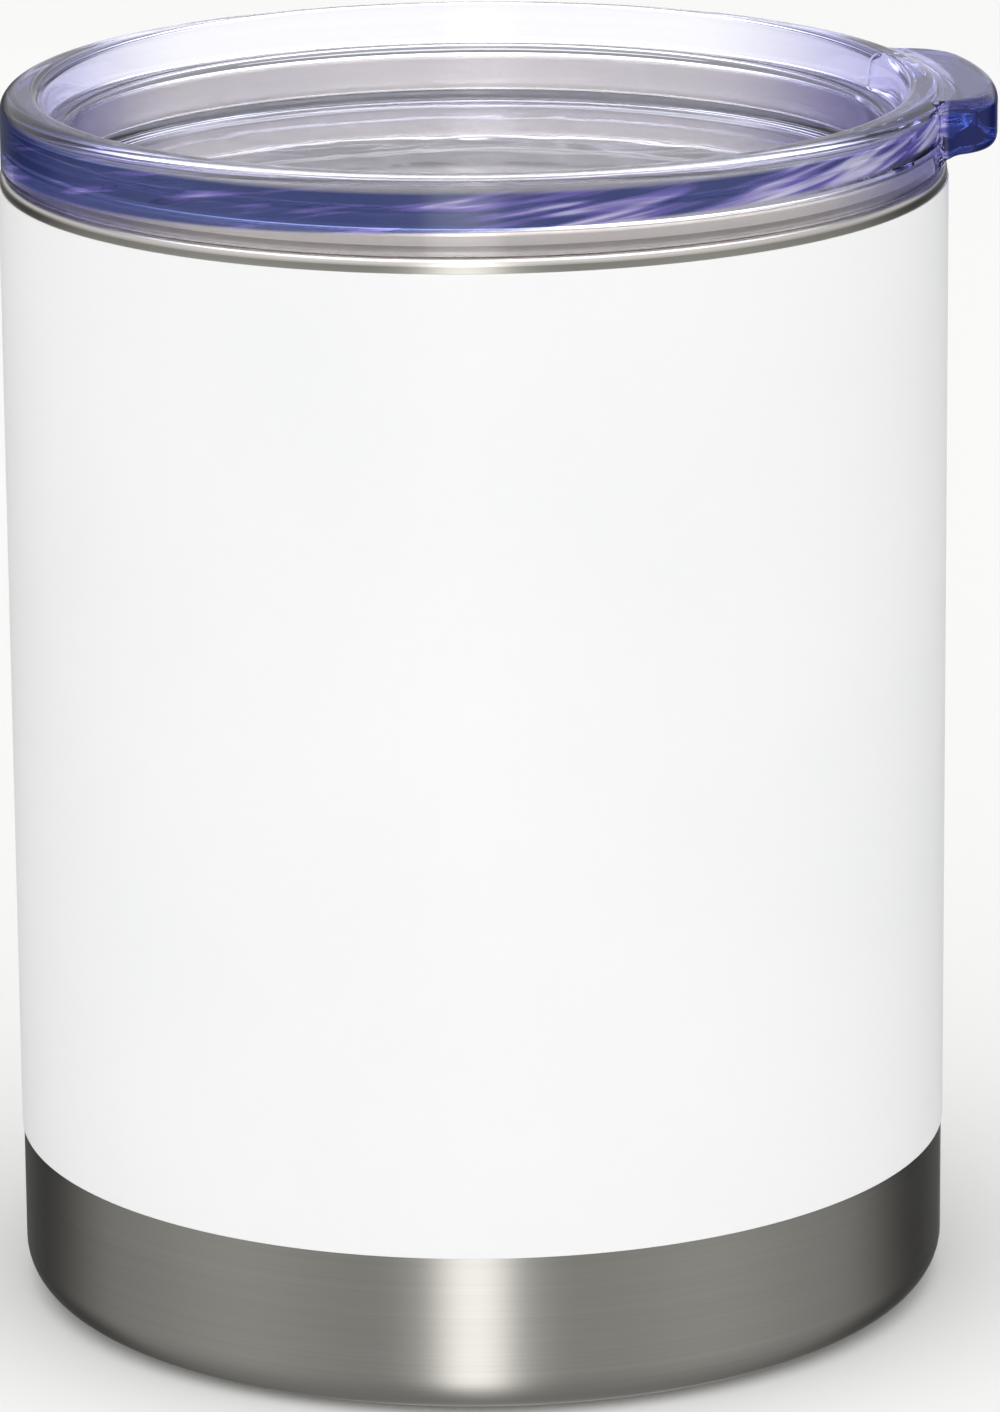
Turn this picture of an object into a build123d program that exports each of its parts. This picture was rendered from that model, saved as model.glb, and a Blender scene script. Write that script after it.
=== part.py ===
from build123d import *
import os

# Insulated lowball tumbler with a clear press-in lid, in millimetres.
# +Z is up along the cup's axis, and the origin is the centre of the base, in the
# plane that the cup stands on. The lid's thumb tab points along +X.

# ---------------------------------------------------------------- driving sizes

# Coated body
body_radius = 44.5          # outside of the powder coat, a straight wall
coat_thickness = 0.15
coat_bottom = 15.6          # height of the bare steel band round the foot
coat_height = 92.0
coat_edge_chamfer = 0.08

# Sheet steel
shell_gauge = 0.7
liner_gauge = 0.6
base_gauge = 0.7
foot_corner_radius = 4.0
base_pan_height = 10.0      # where the pan is butt-welded to the shell

# Bare lip above the coat
lip_band_height = 1.2       # bare full-radius steel, up to the shoulder
neck_step = 1.45            # how far the neck is drawn in from the shell
shoulder_radius = 0.5
neck_fillet = 0.3
lip_thickness = 1.5         # rolled lip at the top of the liner
lip_height = 1.5
lip_rounding = 0.65

# Liner
vacuum_gap = 3.05           # between the shell and the liner's straight wall
mouth_land_height = 14.0    # straight land below the lip, for the gasket to grip
liner_step_height = 2.5
liner_floor = 12.0          # inside floor above the table
liner_corner_radius = 10.0
liner_step_radius = 3.0

# Base and what is sealed inside it
cover_radius = 26.0
cover_thickness = 0.8
dimple_radius = 5.0
dimple_depth = 1.6
port_radius = 1.5
getter_place = 17.0         # from the axis, along +X
getter_radius = 4.0
getter_thickness = 1.6
clip_gauge = 0.3
clip_width = 5.0
clip_foot = 3.0
foil_thickness = 0.08
foil_radius_gap = 0.05
foil_margin = 6.0           # bare liner left at the foil's two ends

# Lid
lid_inset = 0.25            # flange's edge inside the coat's face
flange_height = 7.1
skirt_depth = 2.4           # how far the flange's skirt hangs round the neck
skirt_gap = 0.3             # between the skirt's edge and the steel shoulder
rim_gap = 0.1               # between the flange's underside and the lip
neck_gap = 0.25             # between the skirt and the neck, radially
plug_gap = 0.7              # between the plug and the mouth, radially
plug_depth = 8.1            # below the flange's underside
plug_wall = 3.1             # below the dish floor
dish_wall = 1.5             # between the dish and the gasket's groove
dish_draft = 0.3
dish_depth = 8.9            # from the flange's top to the dish floor
dish_corner_radius = 1.5
floor_thickness = 2.2
ledge_depth = 3.5           # from the flange's top to the ledge inside the rim
ledge_width = 1.4
ledge_rounding = 0.5
rim_flare = 0.7
rim_outer_rounding = 1.8
rim_inner_rounding = 1.3
edge_rounding = 0.3         # skirt and plug edges

# Thumb tab
tab_width = 28.8
tab_reach = 4.9             # beyond the flange
tab_thickness = 5.2
tab_drop = 0.3              # below the flange's top
tab_tip_radius = 42.0       # of the gently bowed tip, in plan
tab_corner_radius = 6.0
tab_rounding = 1.2

# Openings through the dish floor
sip_length = 20.0
sip_width = 8.0
sip_margin = 3.7            # floor left between the slot and the dish wall, along -X
vent_radius = 1.5
vent_margin = 3.7           # floor left between the vent and the dish wall, along +X

# Gasket
gasket_height = 3.0
gasket_depth = 1.0          # groove depth in the plug
gasket_fit = 0.05           # running clearance in the groove and in the mouth
gasket_band_inset = 0.1     # band between the lips, inside the plug's face
gasket_lip_thickness = 0.7
gasket_lip_root = 0.3       # extra thickness of a lip where it leaves the band
gasket_end_slope = 0.2
gasket_above_plug_end = 1.4

# ---------------------------------------------------------------- radii and heights worked out

shell_radius = body_radius - coat_thickness
neck_radius = shell_radius - neck_step
mouth_radius = neck_radius - lip_thickness
liner_radius = shell_radius - shell_gauge - vacuum_gap - liner_gauge
lid_radius = body_radius - lid_inset
plug_radius = mouth_radius - plug_gap
groove_radius = plug_radius - gasket_depth
dish_radius = groove_radius - dish_wall
skirt_radius = neck_radius + neck_gap

coat_top = coat_bottom + coat_height
shoulder_z = coat_top + lip_band_height
skirt_z = shoulder_z + skirt_gap
flange_under_z = skirt_z + skirt_depth
flange_top_z = skirt_z + flange_height
lip_top_z = flange_under_z - rim_gap
lip_under_z = lip_top_z - lip_height
dish_floor_z = flange_top_z - dish_depth
dish_under_z = dish_floor_z - floor_thickness
plug_end_z = flange_under_z - plug_depth
groove_low_z = plug_end_z + gasket_above_plug_end
groove_high_z = groove_low_z + gasket_height + 2 * gasket_fit


# ---------------------------------------------------------------- ways of making

def turned(points, radii):
    """Solid of revolution: a closed outline of (radius, height) points, each corner rounded."""
    with BuildPart() as piece:
        with BuildSketch(Plane.XZ):
            with BuildLine():
                FilletPolyline(*points, radius=radii, close=True)
            make_face()
        revolve(axis=Axis.Z)
    return piece.part


def spun_sheet(points, radii, gauge, side):
    """Spun or drawn sheet: the line of one face, given its gauge on one side, turned about Z."""
    with BuildPart() as piece:
        with BuildSketch(Plane.XZ):
            with BuildLine():
                FilletPolyline(*points, radius=radii)
                offset(amount=gauge, side=side)
            make_face()
        revolve(axis=Axis.Z)
    return piece.part


# ---------------------------------------------------------------- the cup

def make_outer_shell():
    """Drawn tube with a shoulder and a narrowed neck that meets the liner's lip."""
    line = [
        (shell_radius, base_pan_height),
        (shell_radius, shoulder_z),
        (neck_radius, shoulder_z),
        (neck_radius, lip_under_z),
    ]
    return spun_sheet(line, [shoulder_radius, neck_fillet], shell_gauge, Side.LEFT)


def make_base_pan():
    """Pressed pan that closes the foot, with a seat for the cover and a dimple for the port."""
    dimple_z = cover_thickness + dimple_depth
    line = [
        (port_radius, dimple_z),
        (dimple_radius, cover_thickness),
        (cover_radius, cover_thickness),
        (cover_radius, 0),
        (shell_radius, 0),
        (shell_radius, base_pan_height),
    ]
    return spun_sheet(line, [0, 0, 0, foot_corner_radius], base_gauge, Side.LEFT)


def make_liner():
    """Deep-drawn inner cup with a straight mouth land, and the rolled lip at its top."""
    land_low_z = lip_top_z - mouth_land_height
    step_low_z = land_low_z - liner_step_height
    line = [
        (0, liner_floor),
        (liner_radius, liner_floor),
        (liner_radius, step_low_z),
        (mouth_radius, land_low_z),
        (mouth_radius, lip_top_z - lip_height / 2),
    ]
    radii = [liner_corner_radius, liner_step_radius, liner_step_radius]
    cup = spun_sheet(line, radii, liner_gauge, Side.RIGHT)
    lip = [
        (mouth_radius, lip_under_z),
        (neck_radius, lip_under_z),
        (neck_radius, lip_top_z),
        (mouth_radius, lip_top_z),
    ]
    return cup + turned(lip, [0, 0, lip_rounding, lip_rounding])


def make_coat():
    """Powder coat over the straight wall only, with its masked edges slightly eased."""
    ease = coat_edge_chamfer
    outline = [
        (shell_radius, coat_bottom),
        (body_radius - ease, coat_bottom),
        (body_radius, coat_bottom + ease),
        (body_radius, coat_top - ease),
        (body_radius - ease, coat_top),
        (shell_radius, coat_top),
    ]
    return turned(outline, 0)


def make_foil():
    """Heat-shield foil wrapped round the liner's straight wall."""
    inner = liner_radius + liner_gauge + foil_radius_gap
    low_z = liner_floor + liner_corner_radius + foil_margin
    high_z = lip_top_z - mouth_land_height - liner_step_height - foil_margin
    outer = inner + foil_thickness
    return turned([(inner, low_z), (outer, low_z), (outer, high_z), (inner, high_z)], 0)


def make_port_seal():
    """Glass bead melted into the evacuation port's dimple."""
    dimple_z = cover_thickness + dimple_depth
    outline = [
        (0, cover_thickness),
        (dimple_radius, cover_thickness),
        (port_radius, dimple_z),
        (0, dimple_z),
    ]
    return turned(outline, 0)


def make_cover():
    """Thin disc let in flush with the foot, over the sealed port."""
    outline = [(0, 0), (cover_radius, 0), (cover_radius, cover_thickness), (0, cover_thickness)]
    return turned(outline, 0)


def make_getter():
    """Pill that soaks up the last gas in the vacuum space."""
    low_z = cover_thickness + base_gauge
    return Pos(getter_place, 0, low_z) * extrude(Circle(getter_radius).face(), getter_thickness)


def make_getter_clip():
    """Bent strap over the pill, spot-welded to the pan by its two feet."""
    low_z = cover_thickness + base_gauge
    half = getter_radius + clip_gauge
    high_z = low_z + getter_thickness + clip_gauge
    outline = [
        (-half - clip_foot, low_z),
        (-half + clip_gauge, low_z),
        (-half + clip_gauge, high_z - clip_gauge),
        (half - clip_gauge, high_z - clip_gauge),
        (half - clip_gauge, low_z),
        (half + clip_foot, low_z),
        (half + clip_foot, low_z + clip_gauge),
        (half, low_z + clip_gauge),
        (half, high_z),
        (-half, high_z),
        (-half, low_z + clip_gauge),
        (-half - clip_foot, low_z + clip_gauge),
    ]
    with BuildPart() as piece:
        with BuildSketch(Plane.YZ.offset(getter_place)):
            with BuildLine():
                Polyline(*outline, close=True)
            make_face()
        extrude(amount=clip_width / 2, both=True)
    return piece.part


# ---------------------------------------------------------------- the lid and its gasket

def make_lid_ring():
    """Turned body of the lid: dish, rounded rim, skirt round the neck, and grooved plug."""
    ledge_z = flange_top_z - ledge_depth
    ledge_radius = dish_radius + dish_draft + ledge_width
    under_radius = plug_radius - plug_wall
    rounded = [
        ((0, dish_floor_z), 0),
        ((dish_radius, dish_floor_z), dish_corner_radius),
        ((dish_radius + dish_draft, ledge_z), ledge_rounding),
        ((ledge_radius, ledge_z), ledge_rounding),
        ((ledge_radius + rim_flare, flange_top_z), rim_inner_rounding),
        ((lid_radius, flange_top_z), rim_outer_rounding),
        ((lid_radius, skirt_z), edge_rounding),
        ((skirt_radius, skirt_z), edge_rounding),
        ((skirt_radius, flange_under_z), edge_rounding),
        ((plug_radius, flange_under_z), edge_rounding),
        ((plug_radius, groove_high_z), 0),
        ((groove_radius, groove_high_z), 0),
        ((groove_radius, groove_low_z), 0),
        ((plug_radius, groove_low_z), 0),
        ((plug_radius, plug_end_z), edge_rounding),
        ((under_radius, plug_end_z), edge_rounding),
        ((under_radius, dish_under_z), edge_rounding),
        ((0, dish_under_z), 0),
    ]
    return turned([point for point, _ in rounded], [radius for _, radius in rounded])


def make_tab():
    """Thumb tab: a rounded block outside the flange, with a cove under its root."""
    high_z = flange_top_z - tab_drop
    low_z = high_z - tab_thickness
    tip_x = lid_radius + tab_reach
    side = tab_width / 2
    root_radius = lid_radius - rim_outer_rounding
    root_x = (root_radius**2 - side**2) ** 0.5 - tab_rounding
    shoulder_x = tip_x - tab_tip_radius + (tab_tip_radius**2 - side**2) ** 0.5
    cove = low_z - skirt_z
    with BuildSketch() as plan:
        with BuildLine():
            Polyline((shoulder_x, side), (root_x, side), (root_x, -side), (shoulder_x, -side))
            ThreePointArc((shoulder_x, side), (tip_x, 0), (shoulder_x, -side))
        make_face()
        fillet(plan.vertices().group_by(Axis.X)[-1], tab_corner_radius)
    slab = Pos(0, 0, low_z) * extrude(plan.sketch, tab_thickness)
    foot = Pos(0, 0, skirt_z) * extrude(offset(plan.sketch, -tab_rounding), flange_height)
    with BuildPart() as block:
        add(slab)
        flats = block.faces().filter_by(Axis.Z)
        outer_edges = flats.edges() - flats.edges().group_by(Axis.X)[0]
        fillet(outer_edges, tab_rounding)
    with BuildPart() as web:
        with BuildSketch(Plane.XZ):
            with BuildLine():
                CenterArc((lid_radius + cove, skirt_z), cove, 90, 90)
                Polyline(
                    (lid_radius, skirt_z),
                    (root_x, skirt_z),
                    (root_x, low_z + tab_rounding),
                    (lid_radius + cove, low_z + tab_rounding),
                    (lid_radius + cove, low_z),
                )
            make_face()
        extrude(amount=side, both=True)
    inside = Pos(0, 0, skirt_z) * extrude(Circle(root_radius).face(), flange_height)
    skirt_middle = (skirt_radius + lid_radius) / 2
    neck_room = Pos(0, 0, skirt_z) * extrude(Circle(skirt_middle).face(), skirt_depth + edge_rounding)
    return (block.part + (web.part & foot)) - inside - neck_room


def make_lid():
    """One clear moulding: the turned body and its tab, pierced by the sip slot and the vent."""
    sip_x = -(dish_radius - sip_margin - sip_width / 2)
    vent_x = dish_radius - vent_margin - vent_radius
    slot = extrude(SlotOverall(sip_length, sip_width, rotation=90).face(), floor_thickness)
    vent = extrude(Circle(vent_radius).face(), floor_thickness)
    lid = make_lid_ring() + make_tab()
    return lid - Pos(sip_x, 0, dish_under_z) * slot - Pos(vent_x, 0, dish_under_z) * vent


def make_gasket():
    """Silicone ring in the plug's groove, with two lips that press on the mouth land."""
    low_z = groove_low_z + gasket_fit
    high_z = low_z + gasket_height
    back = groove_radius + gasket_fit
    band = plug_radius - gasket_band_inset
    tip = mouth_radius - gasket_fit
    lip_end = gasket_end_slope + gasket_lip_thickness
    lip_root = lip_end + gasket_lip_root
    outline = [
        (back, low_z),
        (band, low_z),
        (tip, low_z + gasket_end_slope),
        (tip, low_z + lip_end),
        (band, low_z + lip_root),
        (band, high_z - lip_root),
        (tip, high_z - lip_end),
        (tip, high_z - gasket_end_slope),
        (band, high_z),
        (back, high_z),
    ]
    return turned(outline, 0)


# ---------------------------------------------------------------- write the parts

nodes = {
    "outer_shell": make_outer_shell(),
    "base_pan": make_base_pan(),
    "inner_liner": make_liner(),
    "powder_coat": make_coat(),
    "heat_shield_foil": make_foil(),
    "port_seal": make_port_seal(),
    "port_cover": make_cover(),
    "getter_pill": make_getter(),
    "getter_clip": make_getter_clip(),
    "lid_gasket": make_gasket(),
    "lid": make_lid(),
}

os.makedirs("parts", exist_ok=True)
for name, solid in nodes.items():
    export_step(solid, f"parts/{name}.step")
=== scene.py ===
import math

import bpy
import numpy as np
from mathutils import Euler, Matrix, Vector
from mathutils.geometry import tessellate_polygon


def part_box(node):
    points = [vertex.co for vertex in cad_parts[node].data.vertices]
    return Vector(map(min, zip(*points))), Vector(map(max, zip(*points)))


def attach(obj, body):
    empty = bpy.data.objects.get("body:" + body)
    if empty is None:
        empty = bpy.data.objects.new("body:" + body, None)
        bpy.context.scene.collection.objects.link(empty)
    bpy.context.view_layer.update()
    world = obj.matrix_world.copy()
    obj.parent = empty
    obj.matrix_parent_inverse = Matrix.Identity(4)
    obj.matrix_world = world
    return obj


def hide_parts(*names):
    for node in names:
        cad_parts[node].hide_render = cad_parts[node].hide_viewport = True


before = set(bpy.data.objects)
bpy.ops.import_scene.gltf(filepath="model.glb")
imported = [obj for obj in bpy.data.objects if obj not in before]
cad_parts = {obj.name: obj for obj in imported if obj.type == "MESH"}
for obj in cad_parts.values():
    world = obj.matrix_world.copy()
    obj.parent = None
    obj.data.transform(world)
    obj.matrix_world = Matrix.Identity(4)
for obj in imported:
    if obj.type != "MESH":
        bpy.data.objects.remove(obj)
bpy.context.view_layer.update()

# ---------------------------------------------------------------------------------------------
# Outer shell: a tube drawn from 304 stainless sheet, 0.7 mm thick, and spun in at the top to a shoulder
# and a neck that carries the lip. The straight wall is brushed all round and mostly coated, the shoulder
# is polished and painted paler as painted light, and the neck, left as drawn, is painted darker as
# painted shade under the lid's skirt.
# ---------------------------------------------------------------------------------------------

MM = 0.001


def size_of(node):
    """A CAD node's lowest and highest corners, in millimetres."""
    low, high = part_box(node)
    return np.array(low) / MM, np.array(high) / MM


def rounded(corners, closed=True):
    """Outline in (radius, height) of a turned piece, from its corners, each (radius, height, rounding).

    A corner becomes an arc tangent to both sides: it leaves them at rounding / tan(half the corner's
    angle), and its centre is on the bisector at rounding / sin(half the angle). A point just outside
    each end of the arc holds the flat beside it flat when it is shaded.
    """
    places = np.array([corner[:2] for corner in corners], float)
    points = []
    for k, (here, corner) in enumerate(zip(places, corners)):
        if corner[2] == 0 or (not closed and k in (0, len(corners) - 1)):
            points.append(here[None])
            continue
        back, ahead = places[k - 1] - here, places[(k + 1) % len(corners)] - here
        back, ahead = back / np.linalg.norm(back), ahead / np.linalg.norm(ahead)
        half = math.acos(np.clip(back @ ahead, -1, 1)) / 2
        bisector = (back + ahead) / np.linalg.norm(back + ahead)
        centre = here + bisector * corner[2] / math.sin(half)
        cut = corner[2] / math.tan(half)
        first, last = here + back * cut - centre, here + ahead * cut - centre
        start = math.atan2(first[1], first[0])
        sweep = (math.atan2(last[1], last[0]) - start + math.pi) % (2 * math.pi) - math.pi
        turn = start + sweep * np.linspace(0, 1, 4 + math.ceil(abs(sweep) * 6))
        arc = centre + corner[2] * np.stack([np.cos(turn), np.sin(turn)], 1)
        hold = cut + 0.1 * corner[2]
        points += [(here + back * hold)[None], arc, (here + ahead * hold)[None]]
    return np.concatenate(points)


def band(rows, columns, first=0, closed=False):
    """Four-sided faces between rows of points that follow each other; every row is a closed loop."""
    i, j = np.meshgrid(np.arange(rows if closed else rows - 1), np.arange(columns), indexing="ij")
    up, on = (i + 1) % rows, (j + 1) % columns
    faces = [i * columns + j, i * columns + on, up * columns + on, up * columns + j]
    return first + np.stack(faces, 2).reshape(-1, 4)


def new_piece(name, points, faces):
    """Smooth mesh object from points in millimetres, with edges over 35 degrees kept sharp."""
    mesh = bpy.data.meshes.new(name)
    places = np.reshape(points, (-1, 3)) * MM
    mesh.from_pydata(places.tolist(), [], [face for block in faces for face in block.tolist()])
    mesh.shade_smooth()
    mesh.set_sharp_from_angle(angle=math.radians(35))
    piece = bpy.data.objects.new(name, mesh)
    bpy.context.scene.collection.objects.link(piece)
    return piece


def turned(name, outline, turns=240):
    """Solid of revolution: (radius, height) goes to (radius cos a, radius sin a, height) round the axis.

    The outline runs anticlockwise in (radius, height). It is closed, or it starts and ends on the axis,
    where a fan of triangles closes each pole.
    """
    angle = np.arange(turns) * 2 * math.pi / turns
    rows = outline if outline[0, 0] > 0 else outline[1:-1]
    r, z = rows[:, :1], rows[:, 1:]
    points = np.stack([r * np.cos(angle), r * np.sin(angle), z + 0 * angle], 2).reshape(-1, 3)
    if outline[0, 0] > 0:
        return new_piece(name, points, [band(len(rows), turns, closed=True)])
    j = np.arange(turns)
    on, last = (j + 1) % turns, (len(rows) - 1) * turns
    low_pole = np.stack([on, j, 0 * j + len(points)], 1)
    high_pole = np.stack([last + j, last + on, 0 * j + len(points) + 1], 1)
    points = np.concatenate([points, [[0, 0, outline[0, 1]], [0, 0, outline[-1, 1]]]])
    return new_piece(name, points, [band(len(rows), turns), low_pole, high_pole])


def linear(colour):
    """sRGB hex to linear colour: v / 12.92 near black, else ((v + 0.055) / 1.055)^2.4. Alpha is 1."""
    value = np.array([int(colour[k : k + 2], 16) / 255 for k in (1, 3, 5)])
    value = np.where(value <= 0.04045, value / 12.92, ((value + 0.055) / 1.055) ** 2.4)
    return (*value.tolist(), 1.0)


def add(tree, kind, settings=None, links=None):
    """Adds a shader node, sets its properties and sockets, and links other outputs to its sockets."""
    node = tree.nodes.new("ShaderNode" + kind)
    for key, value in (settings or {}).items():
        if isinstance(key, str) and hasattr(node, key):
            setattr(node, key, value)
        elif kind == "ValToRGB":
            node.color_ramp.elements[key].color = linear(value)
        else:
            node.inputs[key].default_value = value
    for key, source in (links or {}).items():
        tree.links.new(source, node.inputs[key])
    return node


def new_material(name):
    """Empty node material, with its tree and its output node."""
    material = bpy.data.materials.new(name)
    material.use_nodes = True
    material.node_tree.nodes.clear()
    return material, material.node_tree, add(material.node_tree, "OutputMaterial")


def marks(size_mm):
    """Noise scale that makes marks size_mm across, on positions in metres."""
    return 1 / (size_mm * MM)


def face_centres(piece):
    """Centre of every face of a piece, in millimetres."""
    centres = np.zeros(3 * len(piece.data.polygons))
    piece.data.polygons.foreach_get("center", centres)
    return centres.reshape(-1, 3) / MM


def add_finishes(piece, which, *materials):
    """More materials for a piece: which holds the number of every face's own, with 0 for the first."""
    for material in materials:
        piece.data.materials.append(material)
    piece.data.polygons.foreach_set("material_index", which)


def finish_piece(piece, material, body, slot, *stands_for):
    """Gives a piece its material and its body, and hides the nodes it stands for. The slot is not used.
    """
    piece.data.materials.clear()
    piece.data.materials.append(material)
    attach(piece, body)
    if stands_for:
        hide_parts(*stands_for)


def brushed_304_stainless(name, grain_mm, roughness, pale, dark, metallic=1):
    """Satin 304 stainless, brushed on a lathe: the eye sees fine lines round it, and lights smeared
    up and down across them.

    The lines are noise squeezed to grain_mm along radius plus height and drawn out to 71 mm round the
    axis. 120-grit scratches are about 0.1 mm apart, too fine to show, so they are drawn a few times
    coarser. A face that lies in the lid's shade is set partly metallic, so that it still shows pale.
    """
    material, tree, output = new_material(name)
    place = add(tree, "TexCoord").outputs["Object"]
    flat = add(tree, "VectorMath", {"operation": "MULTIPLY", 1: (1, 1, 0)}, {0: place})
    radius = add(tree, "VectorMath", {"operation": "LENGTH"}, {0: flat.outputs["Vector"]})
    parts = add(tree, "SeparateXYZ", None, {"Vector": place})
    along = add(tree, "Math", {"operation": "ADD"}, {0: radius.outputs["Value"], 1: parts.outputs["Z"]})
    drawn = add(
        tree,
        "CombineXYZ",
        None,
        {"X": parts.outputs["X"], "Y": parts.outputs["Y"], "Z": along.outputs["Value"]},
    )
    squeezed = add(
        tree,
        "VectorMath",
        {"operation": "MULTIPLY", 1: (marks(71.4), marks(71.4), marks(grain_mm))},
        {0: drawn.outputs["Vector"]},
    )
    lines = add(
        tree,
        "TexNoise",
        {"Scale": 1, "Detail": 5, "Roughness": 0.7},
        {"Vector": squeezed.outputs["Vector"]},
    )
    clouds = add(tree, "TexNoise", {"Scale": marks(22.2), "Detail": 3}, {"Vector": place})
    tone = add(
        tree, "Math", {"operation": "MULTIPLY_ADD", 1: 0.6, 2: 0.2}, {0: lines.outputs["Fac"]}
    )
    colour = add(tree, "ValToRGB", {0: dark, 1: pale}, {"Fac": tone.outputs["Value"]})
    dull = add(
        tree,
        "MapRange",
        {"To Min": 0.8 * roughness, "To Max": 1.2 * roughness},
        {"Value": clouds.outputs["Fac"]},
    )
    relief = add(
        tree, "Bump", {"Strength": 0.1, "Distance": 0.04 * MM}, {"Height": lines.outputs["Fac"]}
    )
    round_axis = add(tree, "Tangent", {"direction_type": "RADIAL", "axis": "Z"})
    steel = add(
        tree,
        "BsdfPrincipled",
        {"Metallic": metallic, "Anisotropic": 0.85, "Anisotropic Rotation": 0.25},
        {
            "Base Color": colour.outputs["Color"],
            "Roughness": dull.outputs["Result"],
            "Normal": relief.outputs["Normal"],
            "Tangent": round_axis.outputs["Tangent"],
        },
    )
    tree.links.new(steel.outputs["BSDF"], output.inputs["Surface"])
    return material


shell_gauge = 0.7
shoulder_rounding = 0.5
neck_rounding = 0.3
bare_edge = 1.2
shell_low, shell_high = size_of("outer_shell")
liner_low, liner_high = size_of("inner_liner")
coat_low, coat_high = size_of("powder_coat")
shoulder_height = coat_high[2] + bare_edge
shell_out, neck_out = shell_high[0], liner_high[0]

satin_steel = brushed_304_stainless("brushed_304_stainless", 0.28, 0.3, "#cac8c1", "#a6a49d")

outer_shell = turned(
    "shell_tube",
    rounded(
        [
            (shell_out - shell_gauge, shell_low[2], 0),
            (shell_out, shell_low[2], 0),
            (shell_out, shoulder_height, shoulder_rounding),
            (neck_out, shoulder_height, neck_rounding),
            (neck_out, shell_high[2], 0),
            (neck_out - shell_gauge, shell_high[2], 0),
            (neck_out - shell_gauge, shoulder_height - shell_gauge, neck_rounding + shell_gauge),
            (shell_out - shell_gauge, shoulder_height - shell_gauge, 0),
        ]
    ),
)
finish_piece(outer_shell, satin_steel, "cup", "brushed_stainless", "outer_shell")
shell_heights = face_centres(outer_shell)[:, 2]
# The shoulder's paler copy of the steel is painted light, and the neck's darker copy under the lid's
# skirt is painted shade.
add_finishes(
    outer_shell,
    (shell_heights > coat_high[2]).astype(np.int32) + (shell_heights > shoulder_height),
    brushed_304_stainless("polished_painted_light_304_stainless_shoulder", 0.28, 0.3, "#f3efe9", "#dcd7d0"),
    brushed_304_stainless("drawn_painted_shade_304_stainless_neck", 0.28, 0.35, "#7f7a75", "#69645f"),
)

# ---------------------------------------------------------------------------------------------
# Base pan: pressed from the same sheet, welded to the shell and brushed with it, so the joint is gone.
# It has a rounded foot, a seat for the cover, and a dimple in the middle where the air was drawn out.
# ---------------------------------------------------------------------------------------------

pan_gauge = 0.7
foot_rounding = 4.0
dimple_radius = 5.0
dimple_depth = 1.6
dimple_flare = 0.2
port_radius = 1.5
cover_low, cover_high = size_of("port_cover")
pan_low, pan_high = size_of("base_pan")
seat_out, seat_height = cover_high[0], cover_high[2]

base_pan = turned(
    "base_pan_foot",
    rounded(
        [
            (port_radius, seat_height + dimple_depth, 0),
            (dimple_radius, seat_height, 0),
            (seat_out, seat_height, 0),
            (seat_out, pan_low[2], 0),
            (shell_out, pan_low[2], foot_rounding),
            (shell_out, pan_high[2], 0),
            (shell_out - pan_gauge, pan_high[2], 0),
            (shell_out - pan_gauge, pan_low[2] + pan_gauge, foot_rounding - pan_gauge),
            (seat_out + pan_gauge, pan_low[2] + pan_gauge, 0),
            (seat_out + pan_gauge, seat_height + pan_gauge, 0),
            (dimple_radius + dimple_flare, seat_height + pan_gauge, 0),
            (port_radius, seat_height + dimple_depth + pan_gauge, 0),
        ]
    ),
)
finish_piece(base_pan, satin_steel, "cup", "brushed_stainless", "base_pan")

# ---------------------------------------------------------------------------------------------
# Port cover: a thin stainless disc let in flush with the foot, stuck over the sealed port.
# Its face is brushed in rings, like the foot round it.
# ---------------------------------------------------------------------------------------------

cover_edge = 0.15
cover_gap = 0.05
cover_out = cover_high[0] - cover_gap

port_cover = turned(
    "port_cover_disc",
    rounded(
        [
            (0, cover_low[2], 0),
            (cover_out, cover_low[2], cover_edge),
            (cover_out, cover_high[2], 0),
            (0, cover_high[2], 0),
        ],
        closed=False,
    ),
)
finish_piece(port_cover, satin_steel, "cup", "brushed_stainless", "port_cover")

# ---------------------------------------------------------------------------------------------
# Inner liner: a deep-drawn cup of the same steel, 0.6 mm thick, with a wider straight mouth that the
# gasket grips, and a lip rolled over the shell's neck. Inside it is spun to a finer satin and painted
# darker, painted shade for the dim cup. The mouth's land is painted pale and partly diffuse, painted
# light where the lid's shade falls, and the lip is buffed.
# ---------------------------------------------------------------------------------------------

liner_gauge = 0.6
lip_thickness = 1.5
lip_rounding = 0.65
lip_margin = 0.2
mouth_land = 14.0
land_blend = 1.0
step_height = 2.5
step_rounding = 3.0
liner_corner = 10.0
vacuum_gap = 3.05
liner_in = shell_out - shell_gauge - vacuum_gap - liner_gauge
mouth_in = neck_out - lip_thickness
liner_floor = liner_low[2] + liner_gauge
lip_top = liner_high[2]
land_low = lip_top - mouth_land
step_low = land_low - step_height

# The inside's steel colour is darker than the outside's: painted shade for the dim inside of the cup.
spun_painted_shade_steel = brushed_304_stainless("spun_304_stainless_inside_painted_shade", 0.35, 0.45, "#a9a29a", "#918a82")

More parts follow.
